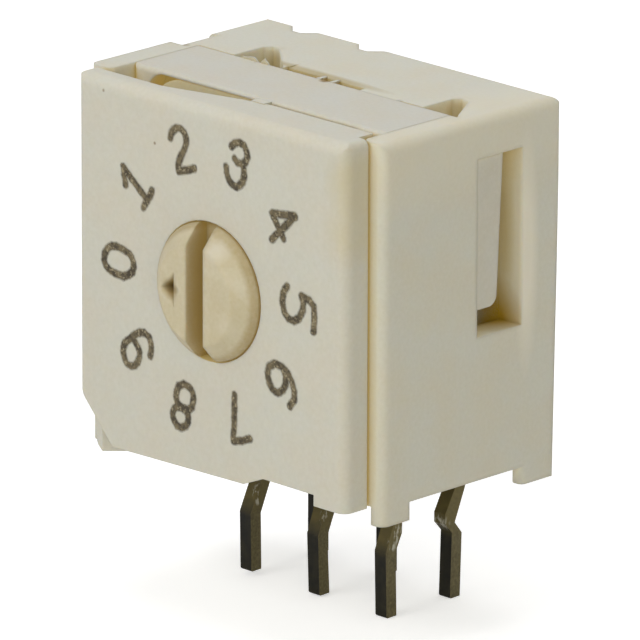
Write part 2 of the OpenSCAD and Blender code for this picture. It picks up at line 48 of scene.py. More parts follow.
class Wire:
    """A socket of a shader's node tree, with arithmetic that adds the Math nodes."""

    def __init__(self, tree, socket):
        self.tree = tree
        self.socket = socket

    def maths(self, operation, *terms, clamp=False):
        node = self.tree.nodes.new("ShaderNodeMath")
        node.operation = operation
        node.use_clamp = clamp
        for inlet, term in zip(node.inputs, terms):
            if isinstance(term, Wire):
                self.tree.links.new(term.socket, inlet)
            else:
                inlet.default_value = term
        return Wire(self.tree, node.outputs[0])

    def __add__(self, other):
        return self.maths("ADD", self, other)

    def __radd__(self, other):
        return self.maths("ADD", other, self)

    def __sub__(self, other):
        return self.maths("SUBTRACT", self, other)

    def __rsub__(self, other):
        return self.maths("SUBTRACT", other, self)

    def __mul__(self, other):
        return self.maths("MULTIPLY", self, other)

    def __rmul__(self, other):
        return self.maths("MULTIPLY", other, self)

    def __abs__(self):
        return self.maths("ABSOLUTE", self)

    def above(self, low, high):
        """0 below low, 1 above high, and a straight ramp between them."""
        return self.maths("MULTIPLY", self - low, 1 / (high - low), clamp=True)

    def either(self, other):
        return self.maths("MAXIMUM", self, other)


class Finish:
    """A material in the making. Every node comes from add(), and paint() closes it."""

    def __init__(self, name, **constants):
        self.material = bpy.data.materials.new(name)
        self.material.use_nodes = True
        self.tree = self.material.node_tree
        self.tree.nodes.clear()
        self.skin = self.tree.nodes.new("ShaderNodeBsdfPrincipled")
        surface = self.tree.nodes.new("ShaderNodeOutputMaterial").inputs["Surface"]
        self.tree.links.new(self.skin.outputs[0], surface)
        for key, value in constants.items():
            self.skin.inputs[key.replace("_", " ")].default_value = value
        self.place = self.add("ShaderNodeTexCoord", outlet="Object")

    def add(self, kind, settings=None, inputs=None, outlet=0):
        """Adds a node, first its settings and then its sockets, and gives one of its outputs."""
        node = self.tree.nodes.new(kind)
        for key, value in (settings or {}).items():
            setattr(node, key, value)
        for key, value in (inputs or {}).items():
            if isinstance(value, Wire):
                self.tree.links.new(value.socket, node.inputs[key])
            else:
                node.inputs[key].default_value = value
        return Wire(self.tree, node.outputs[outlet])

    def cloud(self, per_mm, detail=2.0, roughness=0.5, shift=(0, 0, 0)):
        """Soft noise with that many lumps to a millimetre, from 0 to 1."""
        moved = self.add("ShaderNodeMapping", inputs={"Vector": self.place, "Location": shift})
        return self.add("ShaderNodeTexNoise", inputs={
            "Vector": moved, "Scale": per_mm / MM, "Detail": detail, "Roughness": roughness})

    def mix(self, share, first, second):
        """The first colour where share is 0 and the second where it is 1."""
        factor, colour_a, colour_b, result = 0, 6, 7, 2
        return self.add("ShaderNodeMix", {"data_type": "RGBA"},
                        {factor: share, colour_a: first, colour_b: second}, result)

    def shelter(self, reach_mm):
        """1 where the surface is shut in by others within that reach, 0 in the open."""
        seen = self.add("ShaderNodeAmbientOcclusion", {"samples": 8},
                        {"Distance": reach_mm * MM}, "AO")
        return 1 - seen

    def away(self, x, y, z, along=(1, 1, 1)):
        """The distance in metres from a point given in millimetres. Along weighs each axis."""
        weighed = self.add("ShaderNodeVectorMath", {"operation": "MULTIPLY"},
                           {0: self.place, 1: along})
        point = [c * MM * weight for c, weight in zip((x, y, z), along)]
        return self.add("ShaderNodeVectorMath", {"operation": "DISTANCE"},
                        {0: weighed, 1: point}, "Value")

    def spot(self, x, y, z, radius, along=(1, 1, 1), soft=0.4):
        """1 near a point given in millimetres, and from the soft share of the radius on falling
        to 0 at the radius."""
        return 1 - self.away(x, y, z, along).above(radius * soft * MM, radius * MM)

    def worn_edges(self, radius_mm):
        """The surface's direction, turned smoothly over edges of that radius."""
        return self.add("ShaderNodeBevel", {"samples": 6}, {"Radius": radius_mm * MM})

    def bump(self, height, strength, depth_mm, edges=None):
        """The surface's direction over fine bumps, on top of the worn edges if given."""
        inputs = {"Height": height, "Strength": strength, "Distance": depth_mm * MM}
        if edges is not None:
            inputs["Normal"] = edges
        return self.add("ShaderNodeBump", inputs=inputs)

    def paint(self, **links):
        """Sets or links the shader's own sockets and gives back the material."""
        for key, value in links.items():
            inlet = self.skin.inputs[key.replace("_", " ")]
            if isinstance(value, Wire):
                self.tree.links.new(value.socket, inlet)
            else:
                inlet.default_value = value
        return self.material


def shade(red, green, blue):
    """A colour written as on a screen, 0 to 255, as the linear colour that a socket takes."""
    def linear(c):
        c /= 255
        return c / 12.92 if c <= 0.04045 else ((c + 0.055) / 1.055) ** 2.4
    return (linear(red), linear(green), linear(blue), 1.0)


def translucent(name):
    """The start of a plastic that light enters a little."""
    return Finish(name, Subsurface_Weight=0.3, Subsurface_Radius=(1.0, 0.7, 0.35),
                  Subsurface_Scale=0.4 * MM, IOR=1.45, Specular_IOR_Level=0.3,
                  Emission_Strength=1.0)


# Walls within this reach shelter a place. With each pair, the first shelter is where the gap's
# painted shade, painted haze or painted glow begins, and the second is where it is full.
GAP_REACH = 1.1
GAP_SHADED, HAZY, GLOWING = (0.3, 0.75), (0.1, 0.38), (0.45, 0.75)
WHITE, BLACK = (1, 1, 1, 1), (0, 0, 0, 1)


def moulded(name, body, warm, golden, glow, haze, seed, grain=0.5, edge=0.08, marks=(),
            skin=None):
    """Matt moulded plastic: faint mottling, grain and marks. Painted shade turns places that walls
    shelter golden, and a painted glow fills shallow hollows with haze and deep gaps with a golden
    glow, as light that has passed through the plastic would. Its edges are soft. Marks are specks,
    and also painted highlights and painted shade; each is x, y, z, radius, strength, colour, and
    the weights of the axes where it is long."""
    if skin is None:
        skin = translucent(name)
    offset = (seed * 7 * MM, seed * 3 * MM, seed * 5 * MM)
    mottling = skin.cloud(0.7, 3, shift=offset)
    grains = skin.cloud(9, 2, shift=offset)
    pores = skin.cloud(22, 2, shift=offset)
    colour = skin.mix(mottling.above(0.38, 0.66) * 0.55, body, warm)
    colour = skin.mix((grains - 0.5) * 0.16 + 0.08, colour, WHITE)
    # painted shade and painted glow: places that walls shelter turn golden, and hollows and gaps
    # glow
    gap = skin.shelter(GAP_REACH)
    colour = skin.mix(gap.above(*GAP_SHADED) * 0.95, colour, golden)
    lit = skin.mix(gap.above(*HAZY), BLACK, haze)
    lit = skin.mix(gap.above(*GLOWING), lit, glow)
    # marks paint specks, and also painted highlights and painted shade
    for x, y, z, radius, strength, speck_and_painted_light, *along in marks:
        share = skin.spot(x, y, z, radius, *along) * strength
        colour = skin.mix(share, colour, speck_and_painted_light)
        lit = skin.mix(share, lit, BLACK)
    return skin.paint(
        Base_Color=colour, Emission_Color=lit,
        Roughness=0.5 + 0.12 * (grains - 0.5) + 0.1 * (mottling - 0.5),
        Normal=skin.bump(grains + 0.6 * pores, grain, 0.006, skin.worn_edges(edge)))


def dress(piece, material):
    """One material on the whole piece."""
    piece.data.materials.clear()
    piece.data.materials.append(material)


# The cover's gaps get painted golden shade and glow. Its two wide golden marks at the right edge
# are painted shade and glow beside the gap to the housing wall; the three small dark dots are
# specks.
dress(nodes["front_cover"],
      moulded("cover_plastic_skin", shade(199, 197, 183), shade(202, 194, 175),
              shade(188, 166, 108), (0.13, 0.104, 0.036, 1), BLACK, seed=1, edge=0.06,
              marks=[(5.2, -5.0, 9.6, 1.1, 0.45, shade(198, 184, 140)),
                     (5.2, -5.0, 8.2, 1.1, 0.35, shade(198, 184, 140)),
                     (-2.08, -5.39, 9.23, 0.06, 0.7, shade(120, 96, 60)),
                     (-3.87, -5.39, 10.53, 0.06, 0.7, shade(120, 96, 60)),
                     (-4.04, -5.39, 10.29, 0.06, 0.6, shade(120, 96, 60))]))

# The ten digits.
# Dark brown ink, printed on the cover by a stamp, so its edges are ragged and it is mottled.
# Each digit stands with its top outwards, and position 0 is left of the rotor.
FACE_Y = -5.39 * MM
AXIS_Z = 5.55 * MM
# How thick the film is and how far it has sunk into the plastic, in millimetres
INK_THICK = 0.008
INK_SUNK = 0.003

# Each digit as pen strokes in millimetres, upright about its own middle
DIGITS = {
    0: [[(0.39, 0.11), (0.37, -0.15), (0.29, -0.41), (0.14, -0.54), (-0.01, -0.57), (-0.18, -0.53),
         (-0.31, -0.37), (-0.39, -0.18), (-0.38, 0.08), (-0.34, 0.33), (-0.24, 0.5), (-0.1, 0.57),
         (0.11, 0.54), (0.26, 0.44), (0.35, 0.31), (0.39, 0.11)]],
    1: [[(-0.32, 0.24), (-0.15, 0.43), (0.03, 0.6), (-0.01, 0.11), (-0.03, -0.5)],
        [(0.32, -0.55), (0.12, -0.57), (-0.09, -0.57), (-0.3, -0.59)]],
    2: [[(-0.33, 0.35), (-0.25, 0.46), (-0.13, 0.55), (0.02, 0.58), (0.16, 0.53), (0.25, 0.41),
         (0.28, 0.26), (0.24, 0.14), (0.12, -0.01), (-0.05, -0.16), (-0.2, -0.31), (-0.29, -0.47),
         (-0.3, -0.58), (-0.04, -0.58), (0.18, -0.57), (0.33, -0.57)]],
    3: [[(-0.34, 0.37), (-0.27, 0.51), (-0.12, 0.61), (0.06, 0.62), (0.2, 0.52), (0.28, 0.39),
         (0.27, 0.22), (0.15, 0.09), (-0.01, 0.05), (-0.13, 0.1)],
        [(0.15, 0.09), (0.25, 0.01), (0.33, -0.15), (0.34, -0.35), (0.26, -0.51), (0.16, -0.61),
         (0.02, -0.62), (-0.15, -0.56), (-0.28, -0.42), (-0.34, -0.28)]],
    4: [[(0.21, -0.59), (0.06, 0.59), (-0.37, -0.16), (-0.08, -0.17), (0.37, -0.18)]],
    5: [[(-0.52, -0.42), (-0.31, -0.57), (-0.02, -0.6), (0.22, -0.52), (0.37, -0.35),
         (0.39, -0.16), (0.26, 0.04), (0.01, 0.16), (-0.19, 0.18), (-0.37, 0.12), (-0.32, 0.42),
         (-0.18, 0.57), (0.07, 0.6), (0.52, 0.57)]],
    6: [[(0.28, 0.59), (0.0, 0.58), (-0.18, 0.45), (-0.34, 0.22), (-0.4, -0.01), (-0.38, -0.26),
         (-0.24, -0.5), (0.0, -0.59), (0.21, -0.51), (0.35, -0.34), (0.4, -0.14), (0.32, 0.06),
         (0.1, 0.15), (-0.11, 0.11), (-0.26, -0.01), (-0.35, -0.16)]],
    7: [[(-0.11, -0.62), (0.0, -0.29), (0.16, 0.17), (0.33, 0.59), (0.0, 0.62), (-0.33, 0.59)]],
    8: [[(0.07, 0.05), (0.22, 0.0), (0.29, -0.11), (0.33, -0.28), (0.29, -0.47), (0.14, -0.61),
         (-0.09, -0.64), (-0.24, -0.55), (-0.32, -0.41), (-0.33, -0.19), (-0.25, -0.02),
         (-0.07, 0.04), (0.07, 0.05)],
        [(0.04, 0.06), (-0.15, 0.07), (-0.27, 0.14), (-0.32, 0.29), (-0.29, 0.45), (-0.16, 0.6),
         (0.01, 0.64), (0.17, 0.55), (0.26, 0.41), (0.26, 0.26), (0.19, 0.14), (0.04, 0.06)]],
    9: [[(-0.36, -0.35), (-0.23, -0.49), (-0.11, -0.58), (0.08, -0.62), (0.24, -0.54),
         (0.34, -0.4), (0.36, -0.2), (0.35, -0.02), (0.34, 0.17), (0.34, 0.36), (0.26, 0.48),
         (0.15, 0.56), (0.01, 0.61), (-0.14, 0.62), (-0.28, 0.53), (-0.34, 0.37), (-0.31, 0.21),
         (-0.22, 0.06), (-0.11, -0.03), (0.03, -0.06), (0.17, -0.05), (0.32, -0.01)]],
}
# Where the print put each digit's middle, in millimetres right of and above the rotor's axis
DIGIT_PLACES = {0: (-3.46, 0.10), 1: (-2.81, 2.40), 2: (-1.06, 3.73), 3: (1.05, 3.75),
                4: (2.71, 2.48), 5: (3.35, 0.27), 6: (2.73, -1.94), 7: (1.04, -3.29),
                8: (-1.03, -3.42), 9: (-2.76, -2.21)}


def ink_tree(ink):
    """Prints a pen line: a fine grid of ink is kept where it lies near the line,
    and its rim is drawn onto the stroke's ragged edge."""
    tree = bpy.data.node_groups.new("stamped_digit", "GeometryNodeTree")
    sockets = tree.interface
    sockets.new_socket("Geometry", in_out="INPUT", socket_type="NodeSocketGeometry")
    sizes = {"Stroke Width": 0.3, "Ragged Edge": 0.03, "Ink Thickness": INK_THICK, "Cell": 0.025}
    for name, default in sizes.items():
        size = sockets.new_socket(name, in_out="INPUT", socket_type="NodeSocketFloat")
        size.default_value = default
    sockets.new_socket("Seed", in_out="INPUT", socket_type="NodeSocketInt")
    sockets.new_socket("Geometry", in_out="OUTPUT", socket_type="NodeSocketGeometry")

    def node(kind, settings=None, inputs=None):
        made = tree.nodes.new(kind)
        for key, value in (settings or {}).items():
            setattr(made, key, value)
        for key, value in (inputs or {}).items():
            if isinstance(value, bpy.types.NodeSocket):
                tree.links.new(value, made.inputs[key])
            else:
                made.inputs[key].default_value = value
        return made

    def maths(operation, first, second=0.0):
        return node("ShaderNodeMath", {"operation": operation}, {0: first, 1: second}).outputs[0]

    def vector(operation, first, second=None, scale=None):
        inputs = {0: first}
        if second is not None:
            inputs[1] = second
        if scale is not None:
            inputs["Scale"] = scale
        made = node("ShaderNodeVectorMath", {"operation": operation}, inputs)
        return made.outputs["Vector"]

    source = node("NodeGroupInput").outputs
    half = maths("MULTIPLY", source["Stroke Width"], 0.5)
    # the sheet that is printed on, a little larger than the largest digit
    sheet_wide, sheet_high = 1.5, 1.7
    columns = maths("DIVIDE", sheet_wide, source["Cell"])
    rows = maths("DIVIDE", sheet_high, source["Cell"])
    sheet = node("GeometryNodeMeshGrid", inputs={
        "Size X": sheet_wide, "Size Y": sheet_high, "Vertices X": columns, "Vertices Y": rows})
    spot = node("GeometryNodeInputPosition").outputs[0]
    near = node("GeometryNodeProximity", {"target_element": "EDGES"}, {0: source["Geometry"]})
    # from_line is 0 on the pen line and 1 at half the stroke's width, and the ink fades with it
    marked = node("GeometryNodeStoreNamedAttribute", {"data_type": "FLOAT", "domain": "POINT"}, {
        "Geometry": sheet.outputs["Mesh"], "Name": "from_line",
        "Value": maths("DIVIDE", near.outputs["Distance"], half)})
    seeded = node("ShaderNodeCombineXYZ", inputs={"Z": source["Seed"]}).outputs[0]
    rough = node("ShaderNodeTexNoise", inputs={
        "Vector": vector("ADD", spot, seeded), "Scale": 9.0, "Detail": 3.0})
    wander = maths("MULTIPLY", maths("SUBTRACT", rough.outputs[0], 0.5), source["Ragged Edge"])
    reach = maths("ADD", half, maths("MULTIPLY", wander, 2.0))
    beyond = maths("SUBTRACT", near.outputs["Distance"], reach)
    outside = node("FunctionNodeCompare", {"operation": "GREATER_THAN"}, {0: beyond, 1: 0.0})
    # a face goes when all its corners lie outside, so it is judged at its middle, with half
    # a cell's slack
    slack = maths("MULTIPLY", source["Cell"], 0.55)
    gone = node("FunctionNodeCompare", {"operation": "GREATER_THAN"}, {0: beyond, 1: slack})
    kept = node("GeometryNodeDeleteGeometry", {"domain": "FACE"},
                {"Geometry": marked.outputs[0], "Selection": gone.outputs[0]})
    inward = vector("NORMALIZE", vector("SUBTRACT", near.outputs["Position"], spot))
    moved = node("GeometryNodeSetPosition", inputs={
        "Geometry": kept.outputs[0], "Selection": outside.outputs[0],
        "Offset": vector("SCALE", inward, scale=beyond)})
    merged = node("GeometryNodeMergeByDistance", inputs={
        "Geometry": moved.outputs[0], "Distance": maths("MULTIPLY", source["Cell"], 0.3)})
    raised = node("GeometryNodeExtrudeMesh", inputs={
        "Mesh": merged.outputs[0], "Offset Scale": source["Ink Thickness"], "Individual": False})
    back = node("GeometryNodeFlipFaces", inputs={0: merged.outputs[0]})
    joined = node("GeometryNodeJoinGeometry")
    tree.links.new(raised.outputs[0], joined.inputs[0])
    tree.links.new(back.outputs[0], joined.inputs[0])
    hairline = maths("MULTIPLY", source["Ink Thickness"], 0.1)
    closed = node("GeometryNodeMergeByDistance", inputs={
        "Geometry": joined.outputs[0], "Distance": hairline})
    painted = node("GeometryNodeSetMaterial", inputs={
        "Geometry": closed.outputs[0], "Material": ink})
    whole = node("GeometryNodeRealizeInstances", inputs={0: painted.outputs[0]})
    tree.links.new(whole.outputs[0], node("NodeGroupOutput").inputs[0])
    return tree


def settle(piece):
    """Carries the piece's modifiers out and leaves it with the plain mesh that they give."""
    depsgraph = bpy.context.evaluated_depsgraph_get()
    mesh = bpy.data.meshes.new_from_object(piece.evaluated_get(depsgraph))
    piece.modifiers.clear()
    piece.data = mesh


def set_inputs(modifier, **values):
    """Sets a Geometry Nodes modifier's inputs by their names."""
    for item in modifier.node_group.interface.items_tree:
        name = item.name.replace(" ", "_")
        if item.item_type == "SOCKET" and item.in_out == "INPUT" and name in values:
            modifier[item.identifier] = values[name]


ink_skin = Finish("digit_ink_skin")
blotch = ink_skin.cloud(6, 4, 0.6)
pores = ink_skin.cloud(11, 2, shift=(2 * MM, 0, 0))
ink_colour = ink_skin.mix(blotch.above(0.38, 0.62), shade(52, 42, 22), shade(112, 99, 70))
ink_colour = ink_skin.mix(pores.above(0.56, 0.66) * 0.7, ink_colour, shade(160, 148, 118))
from_line = ink_skin.add("ShaderNodeAttribute", {"attribute_name": "from_line"}, outlet="Fac")
thinness = (from_line + 0.7 * (blotch - 0.5)).above(0.45, 1.0)
ink = ink_skin.paint(Base_Color=ink_colour, Roughness=0.55 + 0.2 * (blotch - 0.5),
                     Alpha=0.96 - thinness, Normal=ink_skin.bump(blotch, 0.4, 0.004))
stamp = ink_tree(ink)
for digit, strokes in DIGITS.items():
    pen = bpy.data.meshes.new(f"pen_{digit}")
    points = [(x, y, 0) for stroke in strokes for x, y in stroke]
    edges, count = [], 0
    for stroke in strokes:
        edges += [(count + i, count + i + 1) for i in range(len(stroke) - 1)]
        count += len(stroke)
    pen.from_pydata(points, edges, [])
    print_piece = bpy.data.objects.new(f"digit_{digit}", pen)
    bpy.context.scene.collection.objects.link(print_piece)
    press = print_piece.modifiers.new("stamp", "NODES")
    press.node_group = stamp
    set_inputs(press, Seed=digit * 3)
    bpy.context.view_layer.update()
    settle(print_piece)
    x, z = DIGIT_PLACES[digit]
    outwards = math.radians(180 - digit * 360 / len(DIGITS))
    # upright in X and Y, turned until the top points outwards, then stood up against the cover's
    # face, into which the ink has sunk a little
    place = (Matrix.Translation((x * MM, FACE_Y + INK_SUNK * MM, AXIS_Z + z * MM))
             @ Matrix.Rotation(math.radians(90), 4, "X")
             @ Matrix.Rotation(outwards - math.radians(90), 4, "Z") @ Matrix.Scale(MM, 4))
    print_piece.data.transform(place)
    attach(print_piece, "switch")
    # a film this thin throws no shadow on the cover
    print_piece.visible_shadow = False

# Right-angle housing.
# A five-sided shell of the same plastic, a little yellower, pushed over the contact block from
# behind. It has a window in each side, standoff feet, and openings and grooves from its mould.
housing_skin = translucent("housing_plastic_skin")
# the painted shade in the windows' lower corners keeps to the inside, where the walls shelter it
inside = housing_skin.shelter(GAP_REACH).above(0.02, 0.1)
# The housing's gaps get painted golden shade, haze and glow. Its marks, in order: a painted
# highlight along the window's rear edge, the top of the right face painted lighter, painted shade
# on the window's rear wall and in its lower corner, painted shade on the lip behind the roof's
# slit and in the roof's two pockets, then a grey spot on the roof and a dark spot on the left
# wall's top edge.
dress(nodes["outer_housing"],
      moulded("housing_plastic_skin", shade(203, 201, 186), shade(205, 197, 173),
              shade(176, 150, 84), (0.15, 0.122, 0.046, 1), (0.115, 0.103, 0.064, 1), seed=2,
              edge=0.2,
              marks=[(5.55, 0.98, 6.5, 0.5, 0.75, shade(232, 226, 208), (1, 1, 0.14)),
                     (5.55, 0, 10.6, 2.4, 0.3, shade(226, 218, 194), (1, 0, 1)),
                     (4.7, 0.81, 6.8, 0.62, 0.4, shade(172, 144, 62), (1, 1, 0.2)),
                     (4.3, 0.81, 4.25, 1.6, 0.97 * inside, shade(180, 144, 14)),
                     (-0.5, -0.76, 10.53, 0.24, 0.75, shade(172, 156, 112), (0.08, 1, 0.3)),
                     (-3.0, 0.2, 10.1, 0.5, 0.6, shade(168, 142, 70)),
                     (3.75, 0.1, 10.2, 0.42, 0.3, shade(168, 142, 70)),
                     (2.8, -1.16, 10.53, 0.2, 0.5, shade(150, 150, 140)),
                     (-5.03, -1.35, 10.5, 0.16, 0.6, shade(140, 130, 100))],
              skin=housing_skin))

# Contact block.
# The cup that holds the works; the terminals are moulded into its floor. Greyer, drier plastic.
# The block's body, its warm tone, and the golden of its painted shade in gaps.
BLOCK = shade(197, 195, 183), shade(199, 191, 171), shade(176, 150, 86)
# The block's gaps also get a painted haze and glow, and its one mark is painted shade standing in
# for a small chip in its rear edge.
dress(nodes["contact_block"],
      moulded("block_plastic_skin", *BLOCK, (0.145, 0.115, 0.036, 1), (0.1, 0.09, 0.058, 1),
              seed=3, edge=0.1,
              marks=[(0.08, -1.15, 10.52, 0.2, 0.9, shade(128, 98, 34))]))

# Flash on the block's rear edge.
# Thin jagged fins of plastic that squeezed out where the two halves of the mould met.
BLOCK_REAR = -1.14
FLASH_HALF = 0.02
# Each fin's ragged crest (x, z), and the left and right end of each skin's front edge
FINS = {
    "flash_flank": [(-3.2, 10.53), (-3.04, 10.6), (-2.9, 10.61), (-2.78, 10.64), (-2.59, 10.66),
                    (-2.51, 10.6), (-2.42, 10.53)],
    "flash_tooth": [(-2.37, 10.53), (-2.3, 10.63), (-2.24, 10.66), (-2.19, 10.71), (-2.15, 10.65),
                    (-2.08, 10.61), (-2.02, 10.53)],
}
SKINS = {"flash_left_skin": (-0.26, -0.1), "flash_right_skin": (0.25, 0.4)}
FIN_FOOT = 10.45
SKIN_REAR = -0.84
SKIN_LOW, SKIN_HIGH = 10.51, 10.56
# The flash takes the block's colours, with a faint painted glow where it is sheltered.
flash_skin = moulded("flash_plastic_skin", *BLOCK, (0.05, 0.04, 0.02, 1), BLACK, seed=6)


def flash(name, outline, near, far):
    """A closed thin piece. Near and far set the outline's points, in millimetres, at its ends."""
    shape = bmesh.new()
    rims = [[shape.verts.new([c * MM for c in place(*point)]) for point in outline]
            for place in (near, far)]
    shape.faces.new(rims[0])
    shape.faces.new(rims[1][::-1])
    count = len(outline)
    for i in range(count):
        j = (i + 1) % count
        shape.faces.new((rims[0][j], rims[0][i], rims[1][i], rims[1][j]))
    bmesh.ops.recalc_face_normals(shape, faces=shape.faces)
    mesh = bpy.data.meshes.new(name)
    shape.to_mesh(mesh)
    shape.free()
    piece = bpy.data.objects.new(name, mesh)
    bpy.context.scene.collection.objects.link(piece)
    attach(piece, "switch")
    dress(piece, flash_skin)


for name, crest in FINS.items():
    foot = [(crest[-1][0], FIN_FOOT), (crest[0][0], FIN_FOOT)]
    flash(name, crest + foot, lambda x, z: (x, BLOCK_REAR - FLASH_HALF, z),
          lambda x, z: (x, BLOCK_REAR + FLASH_HALF, z))
# two skins lie across the slit behind the block and narrow to the rear
for name, (left, right) in SKINS.items():
    front = BLOCK_REAR - FLASH_HALF
    outline = [(left, front), (right, front), (right - 0.03, SKIN_REAR), (left + 0.04, SKIN_REAR)]
    flash(name, outline, lambda x, y: (x, y, SKIN_LOW), lambda x, y: (x, y, SKIN_HIGH))

# Frame for the click springs.
# A beige moulded plate that lies in the block's recess.
# Its sheltered places get painted golden shade, haze and glow.
dress(nodes["detent_frame"],
      moulded("frame_plastic_skin", shade(214, 202, 162), shade(208, 195, 150),
              shade(190, 160, 90), (0.16, 0.125, 0.05, 1), (0.06, 0.052, 0.03, 1), seed=4))

# Rotor.
# Turned by a small screwdriver; cream, slightly translucent plastic with a smoother skin.
# Its rim carries painted shade and is browner, and the pit of the arrow has painted shade, dark in
# the middle and tan round it. A soft painted sheen and two painted highlights lie on its face.
rotor_skin = translucent("rotor_plastic_skin")
# painted shade: beyond 1.68 mm from the axis the rim turns browner; the sheen is painted, soft
# lighter patches
rim = rotor_skin.away(0, 0, AXIS_Z / MM, along=(1, 0, 1)).above(1.68 * MM, 1.8 * MM)
sheen = rotor_skin.cloud(1.6, 2, shift=(3 * MM, 0, MM)).above(0.5, 0.68)
rotor_body = rotor_skin.mix(sheen * 0.35, shade(196, 185, 152), shade(214, 207, 186))
rotor_body = rotor_skin.mix(rim * 0.75, rotor_body, shade(160, 138, 84))
# The rotor's gaps get painted golden shade and glow. Its marks are two painted highlights on the
# face, then the arrow pit's painted shade, tan round it and dark in its middle.
dress(nodes["rotor"],
      moulded("rotor_plastic_skin", rotor_body, shade(188, 173, 134), shade(148, 120, 60),
              (0.08, 0.06, 0.018, 1), BLACK, seed=5, grain=0.25, edge=0.18,
              marks=[(0.67, -5.75, 6.82, 0.42, 0.6, shade(216, 210, 194)),
                     (1.15, -5.88, 4.95, 0.4, 0.35, shade(212, 204, 182)),
                     (-0.95, -5.85, 5.55, 0.36, 0.6, shade(146, 120, 54)),
                     (-0.84, -5.62, 5.55, 0.42, 0.95, shade(150, 124, 62)),
                     (-0.88, -5.6, 5.57, 0.5, 0.99, shade(80, 58, 0), (1, 1, 2.2))],
              skin=rotor_skin))

# Shaft seal.
# A black rubber ring round the rotor's neck that keeps flux and water out.
rubber = Finish("seal_rubber_skin")
bloom = rubber.cloud(5, 3)
dress(nodes["shaft_seal"],
      rubber.paint(Base_Color=rubber.mix(bloom.above(0.35, 0.7), shade(30, 30, 30),
                                         shade(52, 51, 49)),
                   Roughness=0.5 + 0.25 * bloom, Normal=rubber.bump(bloom, 0.3, 0.01)))


# Code plate and springs.
# Stamped from thin gold-plated and bright spring sheet; they lie inside the works.
def sheet_metal(name, bright, dull, rough, seed):
    """Rolled sheet with fine lines along the rolling direction and faint tarnish."""
    metal = Finish(name, Metallic=1.0)
    offset = (seed * MM, 0, 0)
    stretched = metal.add("ShaderNodeMapping", inputs={
        "Vector": metal.place, "Location": offset, "Scale": (1, 12, 12)})
    lines = metal.add("ShaderNodeTexNoise", inputs={
        "Vector": stretched, "Scale": 2 / MM, "Detail": 2.0})
    tarnish = metal.cloud(1.5, 3, shift=offset)
    return metal.paint(
        Base_Color=metal.mix(tarnish.above(0.4, 0.72), bright, dull),
        Roughness=rough + 0.16 * (lines - 0.5) + 0.1 * tarnish,
        Normal=metal.bump(lines, 0.25, 0.004))


gold = sheet_metal("code_metal_skin", shade(214, 180, 96), shade(176, 140, 74), 0.24, 1)
dress(nodes["code_plate"], gold)
bronze = sheet_metal("spring_metal_skin", shade(206, 176, 112), shade(150, 122, 78), 0.28, 2)
for name in nodes:
    if name.startswith(("detent_spring", "contact_spring")):
        dress(nodes[name], bronze)

# Terminals.
# Stamped from pre-plated strip and bent: the strip's faces carry dark tarnished tin,
# and the sheared sides show the bare brass. Near the bends the colour turns olive-brown, with
# lighter, more metallic streaky spots.
tin = Finish("terminal_metal_skin", Specular_IOR_Level=0.35)
facing = tin.add("ShaderNodeTexCoord", outlet="Normal")
across = tin.add("ShaderNodeSeparateXYZ", inputs={0: facing}, outlet="X")
height = tin.add("ShaderNodeSeparateXYZ", inputs={0: tin.place}, outlet="Z")
sheared = abs(across).above(0.6, 0.8)
patina = tin.cloud(3.5, 4)
fine = tin.cloud(14, 3)
plated = tin.mix(patina.above(0.35, 0.7), shade(20, 19, 11), shade(40, 37, 22))
brass = tin.mix(fine.above(0.3, 0.75), shade(88, 82, 56), shade(120, 110, 76))
tin_colour = tin.mix(sheared, plated, brass)
BEND_Z = -1.2 * MM
bends = 1 - abs(height - BEND_Z).above(0.5 * MM, 1.0 * MM)
tin_colour = tin.mix(bends * (0.35 + 0.6 * patina), tin_colour, shade(110, 98, 52))
# lighter spots at the bends: x, y, z and radius in millimetres
BEND_SPOTS = [(-2.33, -1.28, -1.5, 0.24), (-2.33, -1.26, -1.8, 0.14), (0.21, -1.23, -1.58, 0.16),
           (0.21, -1.34, -1.75, 0.12), (2.75, -1.0, -1.5, 0.2), (2.75, -1.05, -1.74, 0.2),
           (2.75, -1.2, -1.92, 0.16), (2.75, -1.45, -1.7, 0.16), (2.54, 0.78, -1.8, 0.36)]
drawn = tin.add("ShaderNodeMapping", inputs={"Vector": tin.place, "Scale": (1, 1, 0.4)})
streaks = tin.add("ShaderNodeTexNoise", inputs={
    "Vector": drawn, "Scale": 11 / MM, "Detail": 3.0}).above(0.5, 0.6)
lighter_spots = tin.spot(*BEND_SPOTS[0])
for place in BEND_SPOTS[1:]:
    lighter_spots = lighter_spots.either(tin.spot(*place))
lighter_spots = lighter_spots * streaks
tin_colour = tin.mix(lighter_spots * 0.9, tin_colour, shade(190, 186, 168))
terminal_metal = tin.paint(
    Base_Color=tin_colour, Metallic=0.25 + 0.4 * lighter_spots,
    Roughness=0.5 + 0.2 * (patina - 0.5) - 0.1 * sheared,
    Normal=tin.bump(fine, 0.3, 0.008))
# Each leg left the bending tool a little off its drawing. In the leg's side view, these corners
# move from one (y, z) to another, in millimetres.
FRONT_ROW, REAR_ROW = -1.27, 1.27
HALF_LEG = 0.19


def tip(row, lean, end):
    """The corners of a leg's tip, which leans that far to the rear and is cut off at the end.
    On the drawing its rear corner is at -3.83, its front one at -3.75 and its point at -3.85."""
    front, rear = row - HALF_LEG, row + HALF_LEG
    return {(round(rear, 2), -3.83): (rear + lean, end + 0.01),
            (round(front, 2), -3.75): (front + lean, end + 0.04),
            (round(front + 0.1, 2), -3.85): (front + lean + 0.04, end)}


